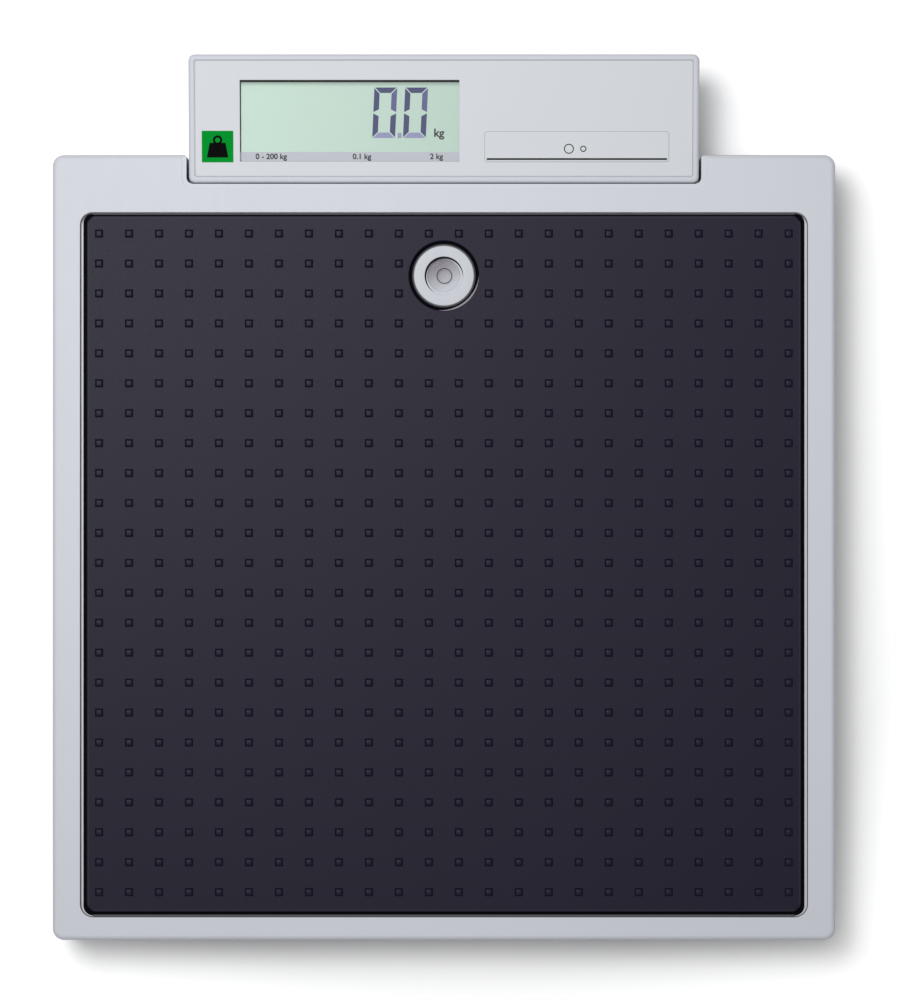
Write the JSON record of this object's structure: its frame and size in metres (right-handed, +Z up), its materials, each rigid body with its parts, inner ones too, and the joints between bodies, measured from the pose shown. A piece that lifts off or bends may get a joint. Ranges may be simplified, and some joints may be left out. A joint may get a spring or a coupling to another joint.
{
  "type": "bathroom scale",
  "caption": "Flat electronic bathroom scale with a studded rubber mat, spirit level and raised display.",
  "frame": {"origin": "on the floor, under the middle of the outline seen from above", "axes": "+Y to the display, +Z up, +X to the right of someone facing the display"},
  "size_m": [0.315, 0.356, 0.0598],
  "materials": {
    "case_grey": "satin",
    "mat_rubber": "matt",
    "level_grey": "gloss",
    "vial_clear": "clear",
    "level_fluid": "clear",
    "plate_steel": "zinc plated",
    "cell_aluminium": "machined",
    "gauge_white": "matt",
    "pad_rubber": "matt",
    "wheel_black": "satin",
    "tray_grey": "fine texture",
    "board_green": "lacquered",
    "connector_white": "satin",
    "chip_black": "matt",
    "lead_grey": "satin",
    "battery_wrap": "gloss",
    "contact_nickel": "plated",
    "screw_zinc": "zinc plated",
    "foil_grey": "satin",
    "window_clear": "clear",
    "gasket_foam": "matt",
    "lcd_green": "gloss",
    "strip_grey": "satin",
    "switch_white": "satin"
  },
  "bodies": {
    "platform": {"base_tray": "tray_grey", "battery_box": "tray_grey", "battery_cells": "battery_wrap", "battery_contacts": "contact_nickel", "battery_leads": "lead_grey", "battery_springs": "contact_nickel", "board_chips": "chip_black", "buzzer": "chip_black", "carrier_plate": "plate_steel", "cell_lead_front_left": "lead_grey", "cell_lead_front_right": "lead_grey", "cell_lead_rear_left": "lead_grey", "cell_lead_rear_right": "lead_grey", "contact_strips": "gasket_foam", "cover_screws": "screw_zinc", "display_board": "board_green", "display_lead": "lead_grey", "display_socket": "connector_white", "display_window": "window_clear", "front_foil": "foil_grey", "gauge_covers": "gauge_white", "head_bracket": "plate_steel", "head_lower_shell": "case_grey", "head_screws": "screw_zinc", "head_upper_shell": "case_grey", "key_switch": "chip_black", "lcd_frame": "connector_white", "lcd_glass": "lcd_green", "level_cup": "level_grey", "level_liquid": "level_fluid", "level_vial": "vial_clear", "load_cell_front_left": "cell_aluminium", "load_cell_front_right": "cell_aluminium", "load_cell_rear_left": "cell_aluminium", "load_cell_rear_right": "cell_aluminium", "main_board": "board_green", "main_board_parts": "connector_white", "platform_cover": "case_grey", "range_strip": "strip_grey", "tread_mat": "mat_rubber", "unit_switch_body": "chip_black", "window_gasket": "gasket_foam"},
    "mode_key": {"mode_key": "foil_grey", "switch_plunger": "switch_white"},
    "battery_cover": {"battery_cover": "tray_grey"},
    "unit_switch_knob": {"unit_switch_knob": "switch_white"},
    "foot_pad_front_left": {"foot_pad_front_left": "pad_rubber"},
    "foot_screw_front_left": {"foot_screw_front_left": "wheel_black"},
    "foot_pad_front_right": {"foot_pad_front_right": "pad_rubber"},
    "foot_screw_front_right": {"foot_screw_front_right": "wheel_black"},
    "foot_pad_rear_left": {"foot_pad_rear_left": "pad_rubber"},
    "foot_screw_rear_left": {"foot_screw_rear_left": "wheel_black"},
    "foot_pad_rear_right": {"foot_pad_rear_right": "pad_rubber"},
    "foot_screw_rear_right": {"foot_screw_rear_right": "wheel_black"}
  },
  "joints": [
    {"name": "foot_slide_front_left", "type": "slide", "parent": "platform", "child": "foot_pad_front_left", "axis": [0, 0, -1], "range_m": [0, 0.005]},
    {"name": "foot_turn_front_left", "type": "hinge", "parent": "foot_pad_front_left", "child": "foot_screw_front_left", "pos_m": [-0.1255, -0.146, 0.0115], "axis": [0, 0, -1], "range_deg": [0, 1440]},
    {"name": "foot_slide_front_right", "type": "slide", "parent": "platform", "child": "foot_pad_front_right", "axis": [0, 0, -1], "range_m": [0, 0.005]},
    {"name": "foot_turn_front_right", "type": "hinge", "parent": "foot_pad_front_right", "child": "foot_screw_front_right", "pos_m": [0.1255, -0.146, 0.0115], "axis": [0, 0, -1], "range_deg": [0, 1440]},
    {"name": "foot_slide_rear_left", "type": "slide", "parent": "platform", "child": "foot_pad_rear_left", "axis": [0, 0, -1], "range_m": [0, 0.005]},
    {"name": "foot_turn_rear_left", "type": "hinge", "parent": "foot_pad_rear_left", "child": "foot_screw_rear_left", "pos_m": [-0.1255, 0.106, 0.0115], "axis": [0, 0, -1], "range_deg": [0, 1440]},
    {"name": "foot_slide_rear_right", "type": "slide", "parent": "platform", "child": "foot_pad_rear_right", "axis": [0, 0, -1], "range_m": [0, 0.005]},
    {"name": "foot_turn_rear_right", "type": "hinge", "parent": "foot_pad_rear_right", "child": "foot_screw_rear_right", "pos_m": [0.1255, 0.106, 0.0115], "axis": [0, 0, -1], "range_deg": [0, 1440]},
    {"name": "key_press", "type": "slide", "parent": "platform", "child": "mode_key", "axis": [0, 0.1219, -0.9925], "range_m": [0, 0.0005], "stiffness_N_per_m": 800, "springref_m": -0.0005},
    {"name": "battery_cover_hinge", "type": "hinge", "parent": "platform", "child": "battery_cover", "pos_m": [0, -0.06165, 0.0181], "axis": [1, 0, 0], "range_deg": [0, 75]},
    {"name": "unit_switch_slide", "type": "slide", "parent": "platform", "child": "unit_switch_knob", "axis": [1, 0, 0], "range_m": [0, 0.003]}
  ],
  "couplings": [
    {"joint": "foot_slide_front_left", "follows": "foot_turn_front_left", "m_per_rad": 0.00019894},
    {"joint": "foot_slide_front_right", "follows": "foot_turn_front_right", "m_per_rad": 0.00019894},
    {"joint": "foot_slide_rear_left", "follows": "foot_turn_rear_left", "m_per_rad": 0.00019894},
    {"joint": "foot_slide_rear_right", "follows": "foot_turn_rear_right", "m_per_rad": 0.00019894}
  ]
}
